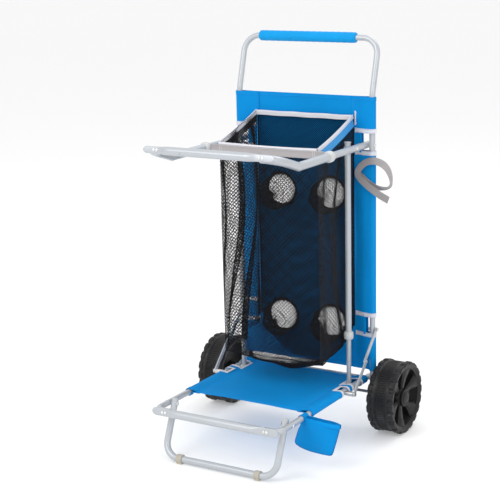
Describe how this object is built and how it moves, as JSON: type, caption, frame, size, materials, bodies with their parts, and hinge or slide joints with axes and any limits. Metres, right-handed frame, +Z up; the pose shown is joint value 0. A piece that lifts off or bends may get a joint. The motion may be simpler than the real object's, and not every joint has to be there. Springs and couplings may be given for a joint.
{
  "type": "beach cart",
  "caption": "Folding beach cart: tube frame on two wide wheels with a fabric panel, net cargo bag, net cup holders, folding platform with front leg, upper bar and umbrella pocket.",
  "frame": {"origin": "on the floor, at the middle of the whole cart's footprint", "axes": "+Z up, +X to the right seen from the front, +Y to the rear; the platform and the upper bar point to -Y"},
  "size_m": [0.62, 0.6069, 1.0845],
  "materials": {
    "frame_paint": "satin light grey powder coat",
    "collar_plastic": "light grey moulded plastic",
    "grip_foam": "fine-celled blue foam",
    "wheel_plastic": "black moulded plastic",
    "hub_cap_plastic": "black moulded plastic",
    "cap_plastic": "grey moulded plastic",
    "zinc_steel": "zinc-plated steel",
    "axle_steel": "dark plated steel",
    "rivet_metal": "bright rivet",
    "blue_fabric": "woven polyester",
    "black_net": "knitted diamond net",
    "webbing": "woven webbing",
    "foot_plastic": "beige grey moulded plastic"
  },
  "bodies": {
    "cart_frame": {"main_tube_left": "frame_paint", "main_tube_right": "frame_paint", "knee_joints": "frame_paint", "handle_tube": "frame_paint", "handle_grip": "grip_foam", "main_tube_end_caps": "cap_plastic", "pivot_crossbar": "zinc_steel", "axle": "axle_steel", "axle_spacers": "cap_plastic", "axle_nuts": "rivet_metal", "main_panel": "blue_fabric", "cup_upper_left": "black_net", "cup_upper_right": "black_net", "cup_lower_left": "black_net", "cup_lower_right": "black_net", "cargo_bag": "black_net", "umbrella_strap": "webbing", "arm_pivot_pins": "rivet_metal", "brace_pivot_pins": "rivet_metal"},
    "wheel_left": {"wheel_left": "wheel_plastic", "hub_cap_left": "hub_cap_plastic"},
    "wheel_right": {"wheel_right": "wheel_plastic", "hub_cap_right": "hub_cap_plastic"},
    "platform": {"platform_side_left": "frame_paint", "platform_side_right": "frame_paint", "platform_front_bar": "frame_paint", "platform_rivets": "rivet_metal", "platform_fabric": "blue_fabric", "platform_end_caps": "cap_plastic", "strut_foot_pins": "rivet_metal", "brace_brackets": "zinc_steel", "leg_hinge_pins": "rivet_metal", "umbrella_pouch": "blue_fabric"},
    "leg": {"leg_tube": "frame_paint", "leg_feet": "foot_plastic", "leg_end_caps": "cap_plastic"},
    "upper_bar": {"arm_left": "frame_paint", "arm_right": "frame_paint", "arm_collars": "collar_plastic", "arm_end_caps": "cap_plastic", "upper_side_left": "frame_paint", "upper_side_right": "frame_paint", "upper_bend_joints": "frame_paint", "upper_front_bar": "frame_paint", "upper_rivets": "rivet_metal", "strut_top_pins": "rivet_metal", "bag_front_band": "webbing"},
    "struts": {"strut_upper_left": "frame_paint", "strut_upper_right": "frame_paint", "strut_lower_left": "frame_paint", "strut_lower_right": "frame_paint", "strut_collars": "collar_plastic", "strut_caps": "collar_plastic"},
    "brace_upper": {"brace_upper_left": "frame_paint", "brace_upper_right": "frame_paint"},
    "brace_lower": {"brace_lower_left": "frame_paint", "brace_lower_right": "frame_paint"},
    "bag_front": {"bag_front": "black_net"}
  },
  "joints": [
    {"name": "wheel_left_spin", "type": "hinge", "parent": "cart_frame", "child": "wheel_left", "pos_m": [-0.271, 0.2035, 0.1], "axis": [1, 0, 0], "continuous": true},
    {"name": "wheel_right_spin", "type": "hinge", "parent": "cart_frame", "child": "wheel_right", "pos_m": [0.271, 0.2035, 0.1], "axis": [1, 0, 0], "continuous": true},
    {"name": "platform_fold", "type": "hinge", "parent": "cart_frame", "child": "platform", "pos_m": [0, 0.2035, 0.14], "axis": [-1, 0, 0], "range_deg": [0, 72], "deforming": ["cargo_bag", "bag_front", "cup_lower_left", "cup_lower_right"]},
    {"name": "upper_bar_fold", "type": "hinge", "parent": "cart_frame", "child": "upper_bar", "pos_m": [0, 0.2035, 0.791], "axis": [-1, 0, 0], "range_deg": [0, 72]},
    {"name": "strut_swing", "type": "hinge", "parent": "platform", "child": "struts", "pos_m": [0, 0.1335, 0.14], "axis": [1, 0, 0], "range_deg": [0, 72]},
    {"name": "brace_upper_swing", "type": "hinge", "parent": "cart_frame", "child": "brace_upper", "pos_m": [0, 0.2035, 0.283], "axis": [1, 0, 0], "range_deg": [0, 41.4]},
    {"name": "brace_lower_swing", "type": "hinge", "parent": "platform", "child": "brace_lower", "pos_m": [0, 0.0605, 0.14], "axis": [-1, 0, 0], "range_deg": [0, 41.4]},
    {"name": "bag_front_hang", "type": "hinge", "parent": "upper_bar", "child": "bag_front", "pos_m": [0, -0.0005, 0.805], "axis": [1, 0, 0], "range_deg": [0, 72]},
    {"name": "leg_fold", "type": "hinge", "parent": "platform", "child": "leg", "pos_m": [0, -0.2215, 0.14], "axis": [1, 0, 0], "range_deg": [0, 104]}
  ],
  "couplings": [
    {"joint": "upper_bar_fold", "follows": "platform_fold", "ratio": 1},
    {"joint": "strut_swing", "follows": "platform_fold", "ratio": 1},
    {"joint": "brace_upper_swing", "follows": "platform_fold", "ratio": 0.57248},
    {"joint": "brace_lower_swing", "follows": "platform_fold", "ratio": 0.57248},
    {"joint": "bag_front_hang", "follows": "platform_fold", "ratio": 1}
  ]
}
